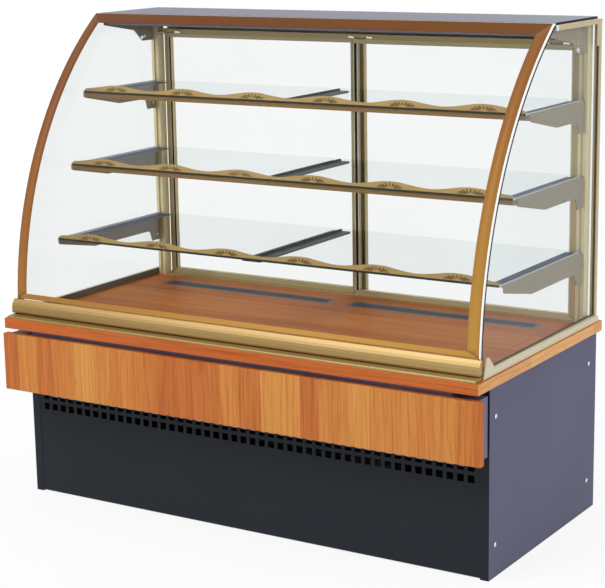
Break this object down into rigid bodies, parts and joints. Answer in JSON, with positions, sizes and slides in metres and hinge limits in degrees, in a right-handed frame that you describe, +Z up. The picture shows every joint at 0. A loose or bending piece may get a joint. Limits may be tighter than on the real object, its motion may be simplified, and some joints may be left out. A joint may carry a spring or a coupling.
{
  "type": "pastry display case",
  "caption": "Refrigerated pastry display case: dark base, wooden counter and fascia, tall curved glass box with glass shelves and sliding rear doors.",
  "frame": {"origin": "on the floor, under the centre of the counter", "axes": "+X to the right as seen from the front, +Y to the rear service side, +Z up"},
  "size_m": [1.492, 0.755, 1.35],
  "materials": {
    "panel_dark": "satin",
    "panel_black": "satin",
    "steel": "brushed",
    "wood": "satin",
    "gold": "anodised",
    "brown_gold": "anodised",
    "beige": "anodised",
    "speckled": "textured",
    "glass_clear": "clear",
    "glass_green": "clear",
    "rubber_black": "matt",
    "plastic_white": "matt",
    "plastic_black": "matt",
    "chrome": "polished",
    "roof_grey": "satin",
    "foam": "matt"
  },
  "bodies": {
    "cabinet": {"cold_well": "foam", "compressor": "plastic_black", "condenser_coil": "steel", "control_box": "panel_black", "counter_board": "wood", "deck_air_grilles": "panel_dark", "deck_board": "wood", "evaporator_coil": "steel", "fascia_board": "wood", "fascia_carrier": "panel_black", "fixing_screws": "chrome", "floor_tray": "steel", "front_base_rail": "gold", "front_panel": "panel_black", "glass_gaskets": "rubber_black", "lamp_housing": "steel", "lamp_tube": "plastic_white", "lower_track": "beige", "power_inlet": "plastic_black", "rail_end_caps": "plastic_white", "rear_panel": "panel_black", "rear_post_left": "beige", "rear_post_right": "beige", "roof_gussets": "speckled", "roof_panel": "roof_grey", "shelf_brackets": "speckled", "shelf_centre_bars": "panel_black", "shelf_glass_bottom": "glass_green", "shelf_glass_middle": "glass_green", "shelf_glass_top": "glass_green", "shelf_profiles": "brown_gold", "shelf_trim_bottom": "gold", "shelf_trim_middle": "gold", "shelf_trim_top": "gold", "side_frame_left": "beige", "side_frame_right": "beige", "side_glass_left": "glass_clear", "side_glass_right": "glass_clear", "side_panel_left": "panel_dark", "side_panel_right": "panel_dark", "side_panel_screws": "chrome", "side_rail_left": "beige", "side_rail_right": "beige", "track_clips": "chrome", "upper_track": "beige"},
    "left_door": {"left_door_frame": "beige", "left_door_glass": "glass_clear", "left_door_glides": "plastic_white", "left_door_pull": "beige"},
    "right_door": {"right_door_frame": "beige", "right_door_glass": "glass_clear", "right_door_glides": "plastic_white", "right_door_pull": "beige"},
    "front_glass_unit": {"front_moulding": "gold", "front_glass": "glass_clear", "glass_border": "brown_gold"},
    "evaporator_fan_wheel": {"evaporator_fan": "plastic_black"},
    "condenser_fan_wheel": {"condenser_fan": "plastic_black"},
    "switch_rocker": {"rocker_switch": "plastic_black"},
    "thermostat_dial": {"thermostat_knob": "plastic_black"}
  },
  "joints": [
    {"name": "left_door_slide", "type": "slide", "parent": "cabinet", "child": "left_door", "axis": [1, 0, 0], "range_m": [0, 0.66]},
    {"name": "right_door_slide", "type": "slide", "parent": "cabinet", "child": "right_door", "axis": [-1, 0, 0], "range_m": [0, 0.66]},
    {"name": "front_glass_tip", "type": "hinge", "parent": "cabinet", "child": "front_glass_unit", "pos_m": [0, -0.3445, 0.547], "axis": [1, 0, 0], "range_deg": [0, 45]},
    {"name": "evaporator_fan_spin", "type": "hinge", "parent": "cabinet", "child": "evaporator_fan_wheel", "pos_m": [-0.1, -0.0315, 0.375], "axis": [0, 1, 0], "continuous": true},
    {"name": "condenser_fan_spin", "type": "hinge", "parent": "cabinet", "child": "condenser_fan_wheel", "pos_m": [0.42, -0.0315, 0.069], "axis": [0, 1, 0], "continuous": true},
    {"name": "switch_rock", "type": "hinge", "parent": "cabinet", "child": "switch_rocker", "pos_m": [0.429, 0.3485, 0.38], "axis": [1, 0, 0], "range_deg": [0, 16]},
    {"name": "thermostat_turn", "type": "hinge", "parent": "cabinet", "child": "thermostat_dial", "pos_m": [0.48, 0.3555, 0.38], "axis": [0, 1, 0], "range_deg": [0, 270]}
  ]
}
